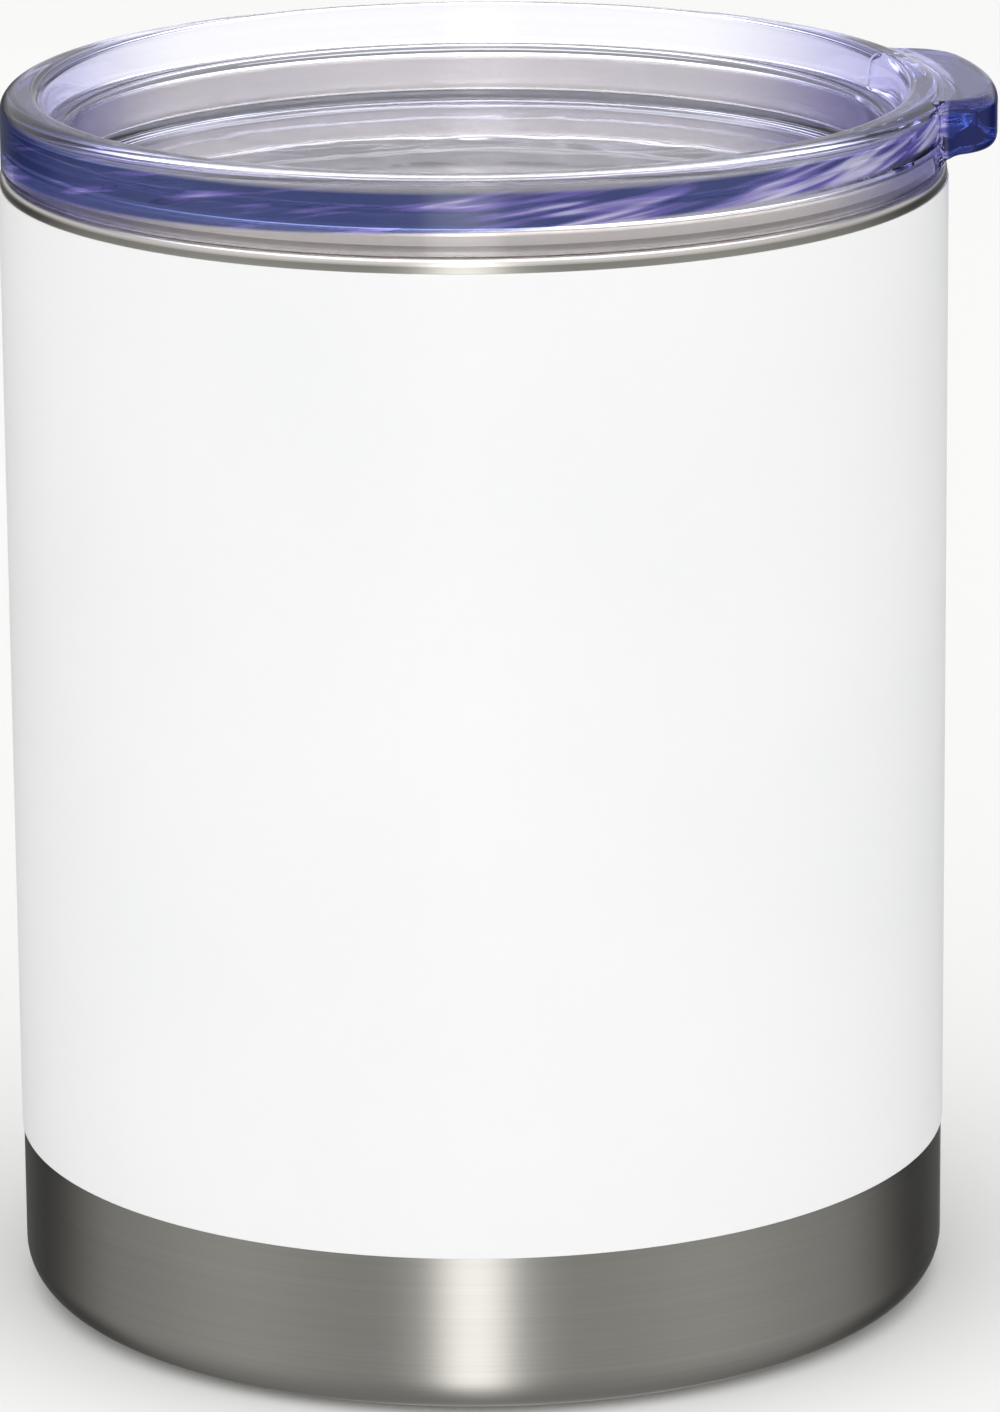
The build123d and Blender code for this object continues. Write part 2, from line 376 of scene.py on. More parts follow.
inner_liner = turned(
    "liner_cup",
    rounded(
        [
            (0, liner_floor - liner_gauge, 0),
            (liner_in + liner_gauge, liner_floor - liner_gauge, liner_corner + liner_gauge),
            (liner_in + liner_gauge, step_low, step_rounding),
            (mouth_in + liner_gauge, land_low, step_rounding),
            (mouth_in + liner_gauge, lip_top - lip_thickness, 0),
            (neck_out, lip_top - lip_thickness, 0),
            (neck_out, lip_top, lip_rounding),
            (mouth_in, lip_top, lip_rounding),
            (mouth_in, land_low, step_rounding),
            (liner_in, step_low, step_rounding),
            (liner_in, liner_floor, liner_corner),
            (0, liner_floor, 0),
        ],
        closed=False,
    ),
)
finish_piece(inner_liner, spun_painted_shade_steel, "cup", "brushed_stainless", "inner_liner")
centres = face_centres(inner_liner)
on_land = centres[:, 2] > land_low + land_blend
beyond_mouth = np.hypot(centres[:, 0], centres[:, 1]) > mouth_in + lip_margin
on_lip = (centres[:, 2] > lip_top - lip_thickness) & beyond_mouth
add_finishes(
    inner_liner,
    on_land + on_lip.astype(np.int32),
    # The land's pale, partly metallic copy of the steel is painted light, where the lid's shade falls on
    # it.
    brushed_304_stainless("pale_painted_light_304_stainless_land", 0.35, 0.4, "#f6f2ec", "#e6e1d9", 0.4),
    brushed_304_stainless("buffed_304_stainless_lip", 0.3, 0.2, "#bdb9b2", "#98948d"),
)

# ---------------------------------------------------------------------------------------------
# Sealed inside the vacuum wall: copper foil round the liner, a getter pill under its nickel clip, and
# the glass bead that was melted into the port. They keep their own solids and are seen only when cut.
# ---------------------------------------------------------------------------------------------


def speckled(name, dark, pale, grain_mm, relief_mm, **shader):
    """Material with one noise: grain_mm across its marks, relief_mm deep, from dark to pale."""
    material, tree, output = new_material(name)
    place = add(tree, "TexCoord").outputs["Object"]
    grain = add(
        tree, "TexNoise", {"Scale": marks(grain_mm), "Detail": 5}, {"Vector": place}
    ).outputs["Fac"]
    colour = add(tree, "ValToRGB", {0: dark, 1: pale}, {"Fac": grain})
    relief = add(tree, "Bump", {"Strength": 0.5, "Distance": relief_mm * MM}, {"Height": grain})
    surface = add(
        tree,
        "BsdfPrincipled",
        {key.replace("_", " "): value for key, value in shader.items()},
        {"Base Color": colour.outputs["Color"], "Normal": relief.outputs["Normal"]},
    )
    tree.links.new(surface.outputs["BSDF"], output.inputs["Surface"])
    return material


# Rolled foil is bright, and its creases catch the light.
rolled_copper_foil = speckled(
    "rolled_copper_foil", "#a8603c", "#e39a72", 6, 0.4, Metallic=1, Roughness=0.22
)
# Solder glass sets dark and smooth, with faint flow marks.
fused_solder_glass = speckled(
    "fused_solder_glass", "#20242a", "#39404a", 1.2, 0.02, Roughness=0.08, Coat_Weight=0.6
)
# Pressed zirconium powder is dull grey, with a sandy face.
pressed_zirconium = speckled(
    "pressed_zirconium_powder", "#3c3c3f", "#6a6a6c", 0.25, 0.05, Metallic=0.6, Roughness=0.7
)
# Rolled nickel strip has a warm white sheen.
rolled_nickel = speckled(
    "rolled_nickel_strip", "#a39c8f", "#c9c3b8", 0.5, 0.01, Metallic=1, Roughness=0.3
)

for node, material in (
    ("heat_shield_foil", rolled_copper_foil),
    ("port_seal", fused_solder_glass),
    ("getter_pill", pressed_zirconium),
    ("getter_clip", rolled_nickel),
):
    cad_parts[node].data.materials.clear()
    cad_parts[node].data.materials.append(material)

# ---------------------------------------------------------------------------------------------
# Powder coat: white polyester powder, baked 0.15 mm thick on the straight wall between two masked
# edges. It gives a bright, nearly matt white with a very fine orange peel.
# ---------------------------------------------------------------------------------------------


def white_polyester_powder():
    """Baked powder coat: low sheen, a hint of blue-grey mottle, and orange peel about 1.5 mm across."""
    material, tree, output = new_material("white_polyester_powder")
    place = add(tree, "TexCoord").outputs["Object"]
    peel = add(
        tree, "TexNoise", {"Scale": marks(1.54), "Detail": 2, "Roughness": 0.4}, {"Vector": place}
    )
    mottle = add(tree, "TexNoise", {"Scale": marks(33.3), "Detail": 3}, {"Vector": place})
    colour = add(
        tree, "ValToRGB", {0: "#f3f4f5", 1: "#fafaf9"}, {"Fac": mottle.outputs["Fac"]}
    )
    dull = add(
        tree, "MapRange", {"To Min": 0.42, "To Max": 0.54}, {"Value": mottle.outputs["Fac"]}
    )
    relief = add(
        tree, "Bump", {"Strength": 0.25, "Distance": 0.03 * MM}, {"Height": peel.outputs["Fac"]}
    )
    coat = add(
        tree,
        "BsdfPrincipled",
        {"IOR": 1.5},
        {
            "Base Color": colour.outputs["Color"],
            "Roughness": dull.outputs["Result"],
            "Normal": relief.outputs["Normal"],
        },
    )
    tree.links.new(coat.outputs["BSDF"], output.inputs["Surface"])
    return material


coat_edge = 0.07

powder_coat = turned(
    "powder_coat_sleeve",
    rounded(
        [
            (shell_out, coat_low[2], 0),
            (coat_high[0], coat_low[2], coat_edge),
            (coat_high[0], coat_high[2], coat_edge),
            (shell_out, coat_high[2], 0),
        ]
    ),
)
finish_piece(powder_coat, white_polyester_powder(), "cup", "white_powder_coat", "powder_coat")

# ---------------------------------------------------------------------------------------------
# Lid gasket: a moulded ring of clear silicone in the plug's groove. Its two soft lips press on the
# liner's mouth and hold the lid by friction.
# ---------------------------------------------------------------------------------------------

gasket_low, gasket_high = size_of("lid_gasket")
gasket_out = gasket_high[0]
gasket_depth = 1.6
gasket_lip = 0.85
gasket_lip_reach = 0.75
gasket_lip_lean = 0.2
gasket_lip_root = 0.3
gasket_root_rounding = 0.1
gasket_rounding = 0.15
gasket_band_in = gasket_out - gasket_depth
gasket_band_out = gasket_out - gasket_lip_reach


def clear_silicone():
    """Moulded silicone: milky, half see-through and matt, with a faint bloom of powder."""
    material, tree, output = new_material("clear_silicone")
    place = add(tree, "TexCoord").outputs["Object"]
    bloom = add(tree, "TexNoise", {"Scale": marks(2.5), "Detail": 3}, {"Vector": place})
    colour = add(tree, "ValToRGB", {0: "#dfe1e6", 1: "#eff0f3"}, {"Fac": bloom.outputs["Fac"]})
    dull = add(
        tree, "MapRange", {"To Min": 0.35, "To Max": 0.5}, {"Value": bloom.outputs["Fac"]}
    )
    relief = add(
        tree, "Bump", {"Strength": 0.2, "Distance": 0.02 * MM}, {"Height": bloom.outputs["Fac"]}
    )
    rubber = add(
        tree,
        "BsdfPrincipled",
        {"IOR": 1.41, "Transmission Weight": 0.9},
        {
            "Base Color": colour.outputs["Color"],
            "Roughness": dull.outputs["Result"],
            "Normal": relief.outputs["Normal"],
        },
    )
    tree.links.new(rubber.outputs["BSDF"], output.inputs["Surface"])
    return material


lid_gasket = turned(
    "lid_gasket_ring",
    rounded(
        [
            (gasket_band_in, gasket_low[2], gasket_rounding),
            (gasket_band_out, gasket_low[2], 0),
            (gasket_out, gasket_low[2] + gasket_lip_lean, gasket_rounding),
            (gasket_out, gasket_low[2] + gasket_lip, gasket_rounding),
            (gasket_band_out, gasket_low[2] + gasket_lip + gasket_lip_root, gasket_root_rounding),
            (gasket_band_out, gasket_high[2] - gasket_lip - gasket_lip_root, gasket_root_rounding),
            (gasket_out, gasket_high[2] - gasket_lip, gasket_rounding),
            (gasket_out, gasket_high[2] - gasket_lip_lean, gasket_rounding),
            (gasket_band_out, gasket_high[2], 0),
            (gasket_band_in, gasket_high[2], gasket_rounding),
        ]
    ),
)
finish_piece(lid_gasket, clear_silicone(), "gasket", "clear_silicone", "lid_gasket")

# ---------------------------------------------------------------------------------------------
# Lid: one clear copolyester moulding. A thick rounded flange sits on the lip, a plug with a groove goes
# into the mouth, and a dish between them is pierced by the sip slot and the vent. A thumb tab stands
# out from the flange along +X.
# ---------------------------------------------------------------------------------------------

lid_low, lid_high = size_of("lid")
flange_out = -lid_low[0]
flange_top = lid_high[2]
skirt_gap = 0.3
skirt_depth = 2.4
skirt_edge = 0.3
skirt_low = shoulder_height + skirt_gap
flange_under = skirt_low + skirt_depth
neck_gap = 0.25
skirt_in = neck_out + neck_gap
plug_gap = 0.7
plug_wall = 3.1
plug_end = lid_low[2]
plug_out = mouth_in - plug_gap
plug_in = plug_out - plug_wall
groove_depth = 1.0
gasket_fit = 0.05
groove_in = plug_out - groove_depth
groove_low, groove_high = gasket_low[2] - gasket_fit, gasket_high[2] + gasket_fit
mould_rounding = 0.3
dish_wall = 1.5
dish_depth = 8.9
dish_corner = 1.5
dish_draft = 0.3
dish_out = groove_in - dish_wall
dish_floor = flange_top - dish_depth
floor_thickness = 2.2
floor_border = 3.2
ledge_depth = 3.5
ledge_width = 1.7
ledge_rounding = 0.5
ledge_height = flange_top - ledge_depth
ledge_out = dish_out + ledge_width
rim_flare = 0.7
rim_out_rounding, rim_in_rounding = 1.8, 1.3
tab_half_width, tab_reach = 14.4, lid_high[0] - flange_out
tab_tip_radius, tab_corner, tab_root_rounding = 42.0, 6.0, 0.2
tab_drop, tab_thickness, tab_rounding = 0.3, 5.2, 1.2
tab_blend = 1.2
sip_length, sip_width, vent_width = 20.0, 8.0, 3.0
hole_margin = 3.7
hole_edge = 0.35
sip_place = -(dish_out - hole_margin - sip_width / 2)
vent_place = dish_out - hole_margin - vent_width / 2


def arc_run(x, y, radius, turns):
    """Points of an arc in plan, each with its direction from the arc's centre."""
    along, across = np.cos(turns), np.sin(turns)
    return np.stack([x + radius * along, y + radius * across, along, across], 1)


def plan_outline():
    """Plan of the flange with its tab: the bowed tip, the corner, the side, the root and the circle.

    The half plan above the X axis runs in order from the tip. The tip is an arc of tab_tip_radius
    about a point on the X axis. The corner is an arc of tab_corner that touches tip and side, so its
    centre is tab_corner inside both. The root is an arc of tab_root_rounding that touches side and
    circle from outside. The other half is its mirror. Each point's outward direction comes with it.
    """
    tip_centre = flange_out + tab_reach - tab_tip_radius
    corner_y = tab_half_width - tab_corner
    corner_x = tip_centre + math.sqrt((tab_tip_radius - tab_corner) ** 2 - corner_y**2)
    corner_turn = math.atan2(corner_y, corner_x - tip_centre)
    root_y = tab_half_width + tab_root_rounding
    root_x = math.sqrt((flange_out + tab_root_rounding) ** 2 - root_y**2)
    root_turn = math.atan2(root_y, root_x)
    tip_turns = np.linspace(0, corner_turn, 14)[:-1]
    tip = arc_run(tip_centre, 0, tab_tip_radius, tip_turns)
    corner_turns = np.linspace(corner_turn, math.pi / 2, 19)
    corner = arc_run(corner_x, corner_y, tab_corner, corner_turns)
    root_turns = np.linspace(-math.pi / 2, root_turn - math.pi, 7)
    root = arc_run(root_x, root_y, tab_root_rounding, root_turns)
    root[:, 2:] *= -1
    circle = arc_run(0, 0, flange_out, np.linspace(root_turn, math.pi, 150)[1:])
    half = np.concatenate([tip, corner, root, circle])
    mirrored = half[-2:0:-1] * (1, -1, 1, -1)
    plan = np.concatenate([half, mirrored])
    return plan[:, :2], plan[:, 2:]


def smooth_step(t):
    """0 below 0, 1 above 1, and 3t^2 - 2t^3 between."""
    t = np.clip(t, 0, 1)
    return t * t * (3 - 2 * t)


def flange_wall(plan, outward):
    """Rows of points up the flange's outside, from the skirt's lower edge to the rim's top.

    Each row has a place on the plain flange (how far inside its circle, and a height) and a place on the
    tab (a point in plan, and a height). The two are mixed by a smooth step of how far the plan stands
    out beyond the circle. Under the tab a cove rises from the skirt: its height at distance q from the
    flange is sqrt(c^2 - (c - q)^2) above the skirt's edge. After a turn of a, a rounded lower edge is
    (1 - sin a) roundings inside the wall and (1 - cos a) above its start. An upper edge is (1 - cos a)
    inside the wall and (1 - sin a) below the top.
    """
    reach = np.linalg.norm(plan, axis=1)
    spoke = plan / reach[:, None]
    root = spoke * flange_out
    on_tab = smooth_step((reach - flange_out) / tab_blend)[:, None]
    tab_top = flange_top - tab_drop
    tab_low = tab_top - tab_thickness
    cove = tab_low - skirt_low
    rows = []

    def put(flange_depth, flange_height, tab_point, tab_height):
        """One row: its points on the plain flange mixed with its points on the tab."""
        plain = spoke * (flange_out - flange_depth)
        point = plain + (tab_point - plain) * on_tab
        height = flange_height + (tab_height - flange_height) * on_tab[:, 0]
        rows.append(np.column_stack([point, height]))

    # The skirt's lower edge, all round.
    for a in np.linspace(0, math.pi / 2, 5):
        depth, rise = skirt_edge * (1 - math.sin(a)), skirt_edge * (1 - math.cos(a))
        put(depth, skirt_low + rise, spoke * (flange_out - depth), skirt_low + rise)

    # The cove, out to where it meets the tab's flat underside or its edge.
    above_edge, least_cove = 0.03, 0.35
    low_rounding = tab_rounding * on_tab
    edge = plan - outward * low_rounding
    edge_excess = np.clip(np.linalg.norm(edge, axis=1) - flange_out, 0, None)
    run = np.maximum(edge_excess, 1e-6)
    short_of_top = cove - np.minimum(edge_excess, cove)
    cove_height = skirt_low + np.sqrt(np.clip(cove**2 - short_of_top**2, 0, None))
    highest = np.maximum(cove_height, skirt_low + least_cove)
    for height in np.linspace(skirt_low + skirt_edge + above_edge, tab_low, 8):
        q = cove - math.sqrt(max(cove**2 - (height - skirt_low) ** 2, 0))
        share = np.minimum(q / run, 1)[:, None]
        put(0, height, root + (edge - root) * share, np.minimum(height, highest))

    # The flat underside and the tab's lower edge. The plain flange's rows climb meanwhile.
    least_under, under_climb, edge_from, edge_climb, wall_from = 0.4, 0.12, 0.7, 0.15, 1.7
    under = np.maximum(cove_height, skirt_low + least_under)
    cove_share = np.minimum(cove / run, 1)[:, None]
    for k, share in enumerate(np.linspace(0, 1, 6)[1:], 1):
        point = root + (edge - root) * (cove_share + (1 - cove_share) * share)
        put(0, tab_low + under_climb * k, point, under)
    for k, a in enumerate(np.linspace(0, math.pi / 2, 7)[1:], 1):
        inside = plan - outward * low_rounding * (1 - math.sin(a))
        rise = low_rounding[:, 0] * (1 - math.cos(a))
        put(0, tab_low + edge_from + edge_climb * k, inside, under + rise)

    # The upright wall.
    wall_low, wall_high = tab_low + wall_from, flange_top - rim_out_rounding
    tab_from, tab_to = under + low_rounding[:, 0], tab_top - tab_rounding
    for share in (0.05, 0.35, 0.65, 0.95):
        height = wall_low + (wall_high - wall_low) * share
        put(0, height, plan, tab_from + (tab_to - tab_from) * share)

    # The tab's upper edge, then its flat top, which runs back into the rim's rounding.
    edge_rows = 6
    meet = math.asin(1 - tab_drop / rim_out_rounding)
    flat_to = spoke * (flange_out - rim_out_rounding * (1 - math.cos(meet)))
    for k, a in enumerate(np.linspace(0, meet, 2 * edge_rows + 1)):
        depth = rim_out_rounding * (1 - math.cos(a))
        height = flange_top - rim_out_rounding * (1 - math.sin(a))
        tab_turn = min(k / edge_rows, 1) * math.pi / 2
        point = plan - outward * tab_rounding * (1 - math.cos(tab_turn))
        point = point + (flat_to - point) * max(k / edge_rows - 1, 0)
        put(depth, height, point, tab_top - tab_rounding * (1 - math.sin(tab_turn)))
    return rows, spoke, meet


def lid_ring(outline, spoke):
    """Rows of a turned stretch: each (radius, height) carried round on the plan's own directions."""
    columns = len(spoke)
    return [np.column_stack([spoke * radius, np.full(columns, height)]) for radius, height in outline]


def slot_rows(length, width, place, top, bottom, steps=48):
    """Rows down a hole's wall: a stadium path, its two edges eased outwards by hole_edge.

    The path is two half circles of half the width, (length - width) apart along Y.
    """
    a = (np.arange(steps) + 0.5) * 2 * math.pi / steps
    away = np.stack([np.cos(a), np.sin(a)], 1)
    centre = np.stack([place + 0 * a, (length - width) / 2 * np.sign(np.sin(a))], 1)
    ease = np.linspace(0, math.pi / 2, 5)
    wider = width / 2 + hole_edge * np.append(2, 1 - np.sin(ease))
    deeper = hole_edge * np.append(0, 1 - np.cos(ease))
    wall = [*zip(wider, top - deeper), *zip(wider[::-1], bottom + deeper[::-1])]
    return [np.column_stack([centre + away * r, np.full(steps, z)]) for r, z in wall]


def floor_faces(outer, holes, offsets, upward):
    """Triangles of a flat floor between its outer loop and its holes, facing up or down.

    The sign of a triangle's area says which way it faces, and one that faces the wrong way is turned.
    """
    loops = [outer] + holes
    triangles = np.array(
        tessellate_polygon([[Vector((*p[:2], 0)) for p in loop] for loop in loops])
    )
    points = np.concatenate(loops)[:, :2]
    places = np.concatenate([offset + np.arange(len(loop)) for offset, loop in zip(offsets, loops)])
    a, b, c = (points[triangles[:, k]] for k in range(3))
    turn = (b[:, 0] - a[:, 0]) * (c[:, 1] - a[:, 1]) - (b[:, 1] - a[:, 1]) * (c[:, 0] - a[:, 0])
    flip = (turn < 0) == upward
    triangles[flip] = triangles[flip][:, ::-1]
    return places[triangles]


def make_lid():
    """Closed mesh of the lid: outer wall rows, turned inner rows, two flat floors and two holes."""
    plan, outward = plan_outline()
    wall, spoke, meet = flange_wall(plan, outward)
    a = np.linspace(meet, math.pi / 2, 6)[1:]
    rim_radius = flange_out - rim_out_rounding * (1 - np.cos(a))
    rim = np.stack([rim_radius, flange_top - rim_out_rounding * (1 - np.sin(a))], 1)
    inside = rounded(
        [
            (flange_out - rim_out_rounding, flange_top, 0),
            (ledge_out + rim_flare, flange_top, rim_in_rounding),
            (ledge_out, ledge_height, ledge_rounding),
            (dish_out + dish_draft, ledge_height, ledge_rounding),
            (dish_out, dish_floor, dish_corner),
            (dish_out - floor_border, dish_floor, 0),
        ],
        closed=False,
    )[1:]
    skirt_flat = 0.02
    under = rounded(
        [
            (dish_out - floor_border, dish_floor - floor_thickness, 0),
            (plug_in, dish_floor - floor_thickness, mould_rounding),
            (plug_in, plug_end, mould_rounding),
            (plug_out, plug_end, mould_rounding),
            (plug_out, groove_low, 0),
            (groove_in, groove_low, 0),
            (groove_in, groove_high, 0),
            (plug_out, groove_high, 0),
            (plug_out, flange_under, mould_rounding),
            (skirt_in, flange_under, mould_rounding),
            (skirt_in, skirt_low, mould_rounding),
            (flange_out - skirt_edge - skirt_flat, skirt_low, 0),
        ],
        closed=False,
    )
    rows = lid_ring(under, spoke) + wall + lid_ring(rim, spoke) + lid_ring(inside, spoke)
    columns = len(plan)
    ring_count = len(rows) * columns
    bottom = dish_floor - floor_thickness
    slot = slot_rows(sip_length, sip_width, sip_place, dish_floor, bottom)
    vent = slot_rows(vent_width, vent_width, vent_place, dish_floor, bottom)
    steps = len(slot[0])
    slot_first, vent_first = ring_count, ring_count + len(slot) * steps
    last = (len(slot) - 1) * steps
    top_starts = [ring_count - columns, slot_first, vent_first]
    bottom_starts = [0, slot_first + last, vent_first + last]
    faces = [
        band(len(rows), columns),
        band(len(slot), steps, slot_first),
        band(len(vent), steps, vent_first),
        floor_faces(rows[-1], [slot[0], vent[0]], top_starts, True),
        floor_faces(rows[0], [slot[-1], vent[-1]], bottom_starts, False),
    ]
    return new_piece("clear_lid", np.concatenate(rows + slot + vent), faces)


def clear_copolyester():
    """Polished clear copolyester with a blue-violet tint: pale where it is thin, and deep blue where
    light runs a long way inside it, which is the flange's wall, the tab and the rim's ends along X.

    Slanted violet and white streaks in the wall, 0.9 mm wide and 14 mm long, and a little paler toward
    the tab, are painted refraction highlights. The wall's band starts higher toward the tab, by
    band_lean for each millimetre of X. The deep parts are cloudy. Only a face that light enters is
    tinted, so that light is coloured once on its way through.
    """
    material, tree, output = new_material("clear_copolyester")
    place = add(tree, "TexCoord").outputs["Object"]
    parts = add(tree, "SeparateXYZ", None, {"Vector": place})
    flat = add(tree, "VectorMath", {"operation": "MULTIPLY", 1: (1, 1, 0)}, {0: place})
    radius = add(tree, "VectorMath", {"operation": "LENGTH"}, {0: flat.outputs["Vector"]})
    reach, sideways, height = radius.outputs["Value"], parts.outputs["X"], parts.outputs["Z"]

    # Painted refraction streaks: noise on (height less slope times turn, turn), in streak widths and
    # lengths.
    streak_width, streak_length, streak_slope = 0.9, 14.0, 0.15
    turn = add(tree, "Math", {"operation": "ARCTAN2"}, {0: parts.outputs["Y"], 1: sideways})
    turn = turn.outputs["Value"]
    climb = add(
        tree,
        "Math",
        {"operation": "MULTIPLY", 1: streak_slope * flange_out / streak_width},
        {0: turn},
    )
    widths = add(tree, "Math", {"operation": "DIVIDE", 1: streak_width * MM}, {0: height})
    across = add(
        tree,
        "Math",
        {"operation": "SUBTRACT"},
        {0: widths.outputs["Value"], 1: climb.outputs["Value"]},
    )
    along = add(tree, "Math", {"operation": "MULTIPLY", 1: flange_out / streak_length}, {0: turn})
    slanted = add(
        tree, "CombineXYZ", None, {"X": across.outputs["Value"], "Y": along.outputs["Value"]}
    )
    painted_refraction_streaks = add(
        tree,
        "TexNoise",
        {"Scale": 1, "Detail": 2, "Roughness": 0.45, "Distortion": 0.3},
        {"Vector": slanted.outputs["Vector"]},
    )
    paler_at_tab = 0.11
    toward_tab = add(
        tree,
        "Math",
        {"operation": "MULTIPLY_ADD", 1: paler_at_tab / (flange_out * MM)},
        {0: sideways, 2: painted_refraction_streaks.outputs["Fac"]},
    )
    # The ramp's violet and pale ends paint refraction highlights into the wall's band.
    deep = add(
        tree, "ValToRGB", {0: "#344182", 1: "#dedcfa"}, {"Fac": toward_tab.outputs["Value"]}
    )
    stops = deep.color_ramp.elements
    stops[0].position, stops[1].position = 0.47, 0.72
    stops.new(0.59).color = linear("#7468c4")

    # Where each tint lies: smooth steps of a distance, 0 at the first place and 1 at the second.
    band_lean = 0.03
    leaning = add(
        tree, "Math", {"operation": "MULTIPLY_ADD", 1: -band_lean}, {0: sideways, 2: height}
    )
    aside = add(tree, "Math", {"operation": "ABSOLUTE"}, {0: sideways})
    steps = []
    for distance, begin, end in (
        (reach, flange_out - 0.6, flange_out - 0.2),
        (leaning.outputs["Value"], flange_under - 0.3, flange_under + 0.2),
        (height, flange_top - 0.8, flange_top - 1.6),
        (reach, flange_out + 0.3, flange_out + 0.9),
        (height, flange_top - 1.3, flange_top - 0.5),
        (aside.outputs["Value"], 24.0, 42.0),
    ):
        span = {"interpolation_type": "SMOOTHSTEP", "From Min": begin * MM, "From Max": end * MM}
        steps.append(add(tree, "MapRange", span, {"Value": distance}).outputs["Result"])
    near_wall, above_skirt, below_rim, in_tab, tab_top, near_ends = steps

    # The shares that take the tints, on faces that light enters.
    backfacing = add(tree, "NewGeometry").outputs["Backfacing"]
    outside = add(tree, "Math", {"operation": "SUBTRACT", 0: 1.0}, {1: backfacing})
    wall = add(tree, "Math", {"operation": "MULTIPLY"}, {0: near_wall, 1: above_skirt})
    wall = add(tree, "Math", {"operation": "MULTIPLY"}, {0: wall.outputs["Value"], 1: below_rim})
    either = add(tree, "Math", {"operation": "MAXIMUM"}, {0: wall.outputs["Value"], 1: in_tab})
    stained, rim_share = (
        add(tree, "Math", {"operation": "MULTIPLY"}, {0: share, 1: outside.outputs["Value"]})
        for share in (either.outputs["Value"], near_ends)
    )
    thick = add(
        tree,
        "Mix",
        {"data_type": "RGBA", 6: linear("#112377"), 7: linear("#24246a")},
        {0: tab_top},
    )
    stain = add(
        tree,
        "Mix",
        {"data_type": "RGBA"},
        {0: in_tab, 6: deep.outputs["Color"], 7: thick.outputs[2]},
    )
    thin = add(
        tree,
        "Mix",
        {"data_type": "RGBA", 6: linear("#fdfcfe"), 7: linear("#8480cc")},
        {0: rim_share.outputs["Value"]},
    )
    colour = add(
        tree,
        "Mix",
        {"data_type": "RGBA"},
        {0: stained.outputs["Value"], 6: thin.outputs[2], 7: stain.outputs[2]},
    )

    # Half of the light in the deep parts is scattered, and the skin has slow waves and faint handling.
    cloudiness = 0.5
    clearness = add(
        tree,
        "Math",
        {"operation": "MULTIPLY_ADD", 1: -cloudiness, 2: 1.0},
        {0: stained.outputs["Value"]},
    )
    flow = add(
        tree,
        "TexNoise",
        {"Scale": marks(14.3), "Detail": 2, "Roughness": 0.4, "Distortion": 0.6},
        {"Vector": place},
    )
    relief = add(
        tree, "Bump", {"Strength": 0.12, "Distance": 0.4 * MM}, {"Height": flow.outputs["Fac"]}
    )
    handling = add(tree, "TexNoise", {"Scale": marks(3.85), "Detail": 4}, {"Vector": place})
    dull = add(
        tree, "MapRange", {"To Min": 0.0, "To Max": 0.04}, {"Value": handling.outputs["Fac"]}
    )
    clear = add(
        tree,
        "BsdfPrincipled",
        {"IOR": 1.54},
        {
            "Base Color": colour.outputs[2],
            "Transmission Weight": clearness.outputs["Value"],
            "Roughness": dull.outputs["Result"],
            "Normal": relief.outputs["Normal"],
        },
    )
    tree.links.new(clear.outputs["BSDF"], output.inputs["Surface"])
    depth = add(tree, "VolumeAbsorption", {"Color": (0.125, 0.2, 0.85, 1), "Density": 17})
    tree.links.new(depth.outputs["Volume"], output.inputs["Volume"])
    return material


lid = make_lid()
finish_piece(lid, clear_copolyester(), "lid", "clear_copolyester", "lid")

# ---------------------------------------------------------------------------------------------
# Studio: a plain pale board as the floor, and soft white light from the front and above. A tall strip
# light stands beside the camera, and the far sides are left dim, which gives the steel its dark edges.
# ---------------------------------------------------------------------------------------------

lamp_azimuth = math.radians(-7.9)
floor_reach = 3000.0


def pale_floor():
    """Matt painted board: near white, with a faint unevenness."""
    material, tree, output = new_material("white_painted_board")
    place = add(tree, "TexCoord").outputs["Object"]
    mottle = add(tree, "TexNoise", {"Scale": marks(333), "Detail": 2}, {"Vector": place})
    colour = add(tree, "ValToRGB", {0: "#f1f1f0", 1: "#f6f6f5"}, {"Fac": mottle.outputs["Fac"]})
    board = add(
        tree,
        "BsdfPrincipled",
        {"Roughness": 0.8, "Specular IOR Level": 0.1},
        {"Base Color": colour.outputs["Color"]},
    )
    tree.links.new(board.outputs["BSDF"], output.inputs["Surface"])
    return material


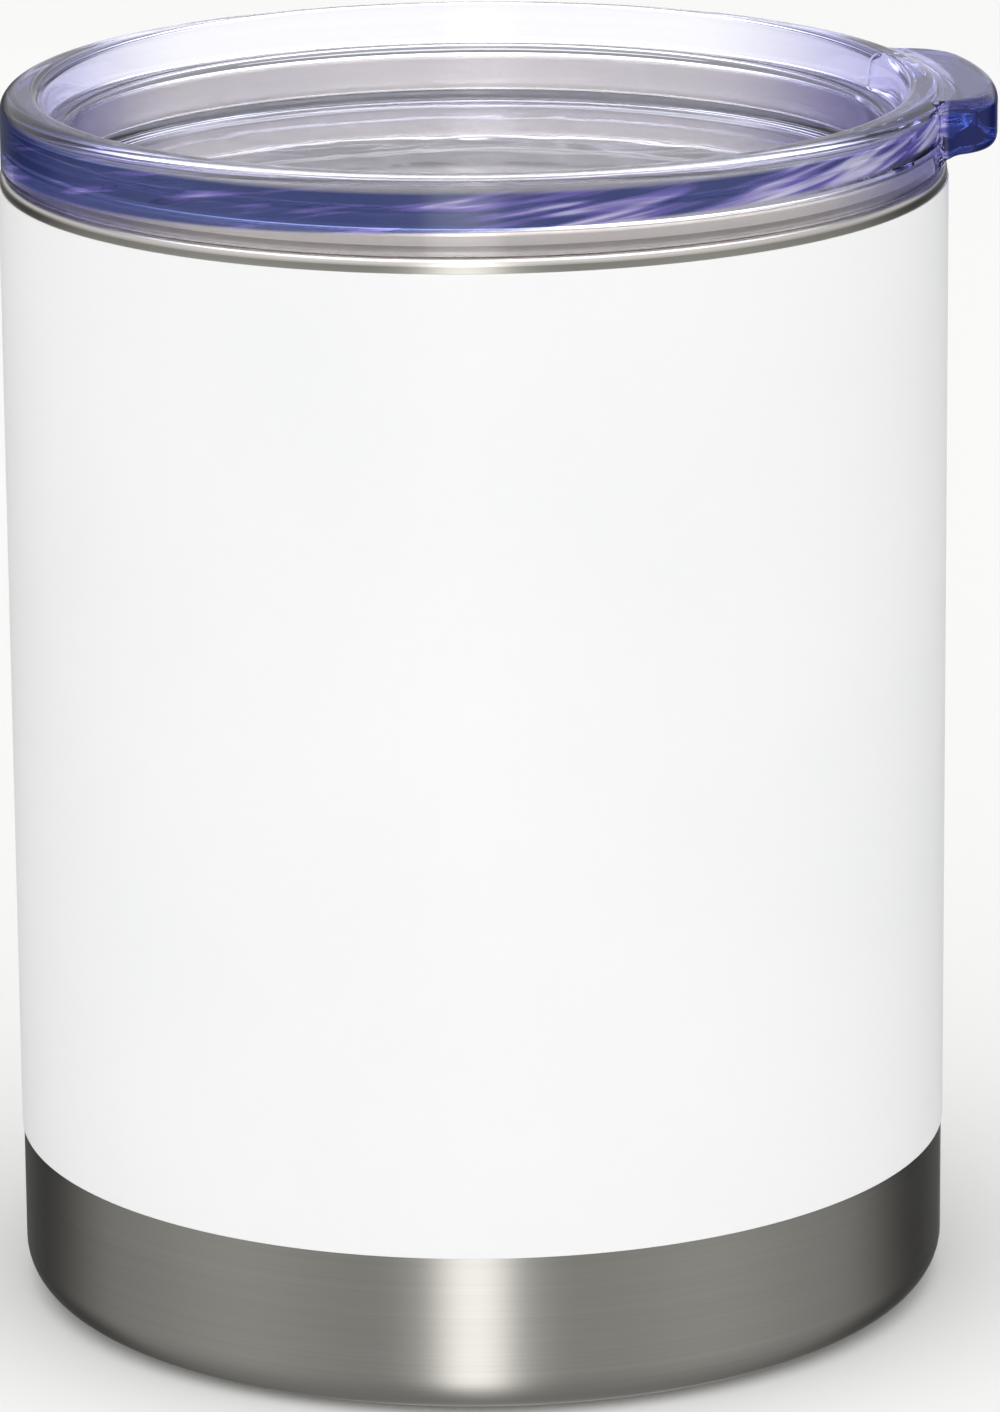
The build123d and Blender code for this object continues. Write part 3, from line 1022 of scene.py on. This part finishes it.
def studio_light():
    """World light by direction: how far it turns from the strip light, and how high it points, set how
    bright it is. What lights the coat, what steel mirrors, what is seen through the lid and what the
    camera sees directly are four lights, told apart by the kind of ray.
    """
    world = bpy.data.worlds.new("studio")
    bpy.context.scene.world = world
    world.use_nodes = True
    tree = world.node_tree
    tree.nodes.clear()
    output = add(tree, "OutputWorld")
    direction = add(tree, "TexCoord").outputs["Generated"]
    level = add(tree, "VectorMath", {"operation": "MULTIPLY", 1: (1, 1, 0)}, {0: direction})
    around = add(tree, "VectorMath", {"operation": "NORMALIZE"}, {0: level.outputs["Vector"]})
    facing = add(
        tree,
        "VectorMath",
        {"operation": "DOT_PRODUCT", 1: (math.sin(lamp_azimuth), -math.cos(lamp_azimuth), 0)},
        {0: around.outputs["Vector"]},
    ).outputs["Value"]
    place = add(tree, "MapRange", {"From Min": -1, "From Max": 1}, {"Value": facing})
    rise = add(tree, "SeparateXYZ", None, {"Vector": direction}).outputs["Z"]
    rays = add(tree, "LightPath")

    def light(stops):
        """Light whose brightness follows stops (cosine of the turn from the strip light, brightness)."""
        peak = max(brightness for _, brightness in stops)
        ramp = add(tree, "ValToRGB", None, {"Fac": place.outputs["Result"]})
        ramp.color_ramp.interpolation = "EASE"
        elements = ramp.color_ramp.elements
        while len(elements) < len(stops):
            elements.new(0.5)
        for element, (cosine, brightness) in zip(elements, stops):
            element.position = (cosine + 1) / 2
            element.color = (*[brightness / peak] * 3, 1)
        shine = add(tree, "Background", {"Strength": peak}, {"Color": ramp.outputs["Color"]})
        return shine.outputs[0]

    def even_light(brightness):
        """Light of one brightness all round."""
        return light([(-1, brightness), (1, brightness)])

    def stacked(lowest, *higher):
        """Lights by height: each (low, high, light) fades in over those below it between two heights."""
        shade = lowest
        for low, high, upper in higher:
            fade = add(tree, "MapRange", {"From Min": low, "From Max": high}, {"Value": rise})
            links = {0: fade.outputs["Result"], 1: shade, 2: upper}
            shade = add(tree, "MixShader", None, links).outputs[0]
        return shade

    on_coat = stacked(
        light([(-1, 0.22), (-0.5, 0.32), (0, 1.0), (1, 0.96)]),
        (0.6, 0.95, even_light(1.7)),
    )
    table = light(
        [
            (-1, 0.8),
            (-0.993, 0.7),
            (-0.985, 0.1),
            (-0.75, 0.03),
            (-0.15, 0.34),
            (0.5, 0.46),
            (0.92, 0.36),
            (0.98, 0.55),
            (0.9985, 2.1),
            (1, 2.3),
        ]
    )
    in_steel = stacked(
        light([(-1, 0.3), (0.95, 0.3), (1, 0.6)]),
        (-0.9, -0.6, table),
        (-0.02, 0.15, light([(-1, 0.6), (0.98, 0.8), (0.993, 1.6), (1, 1.8)])),
    )
    behind_lid = light([(-1, 0.35), (-0.8, 0.45), (-0.3, 2.4), (0.98, 2.4), (0.996, 4), (1, 4)])
    through_lid = stacked(even_light(1.1), (-0.1, 0.1, behind_lid), (0.5, 0.9, even_light(4.5)))
    shade = on_coat
    for ray, seen in (
        ("Is Glossy Ray", in_steel),
        ("Is Transmission Ray", through_lid),
        ("Is Camera Ray", even_light(0.94)),
    ):
        shade = add(tree, "MixShader", None, {0: rays.outputs[ray], 1: shade, 2: seen}).outputs[0]
    tree.links.new(shade, output.inputs["Surface"])


floor_corners = np.array([[-1, -1, 0], [1, -1, 0], [1, 1, 0], [-1, 1, 0]]) * floor_reach
floor = new_piece("floor", floor_corners, [np.array([[0, 1, 2, 3]])])
floor.data.materials.append(pale_floor())
floor.visible_glossy = False
floor.visible_transmission = False
studio_light()
bpy.context.scene.view_settings.view_transform = "Standard"
bpy.context.scene.cycles.max_bounces = 32
bpy.context.scene.cycles.transmission_bounces = 32
bpy.context.scene.cycles.glossy_bounces = 8

# ---------------------------------------------------------------------------------------------
# Camera: a long lens a little above the rim, looking down on the cup from the front, with the tab
# at its right. It leans by half a degree.
# ---------------------------------------------------------------------------------------------

camera_away = 0.7205
camera_height = 0.2549
camera_azimuth = math.radians(-5.5)
camera_pitch = math.radians(-15.45)
camera_aim = math.radians(-0.162)
camera_roll = math.radians(-0.51)

front = Vector((math.sin(camera_azimuth), -math.cos(camera_azimuth), 0))
lens = bpy.data.cameras.new("camera")
lens.sensor_width = 36
lens.lens = 199.45
lens.clip_end = 20
camera = bpy.data.objects.new("camera", lens)
bpy.context.scene.collection.objects.link(camera)
camera.location = front * camera_away + Vector((0, 0, camera_height))
turn = Euler((math.pi / 2 + camera_pitch, 0, camera_azimuth + camera_aim)).to_matrix()
camera.rotation_euler = (turn @ Euler((0, 0, camera_roll)).to_matrix()).to_euler()
bpy.context.scene.camera = camera
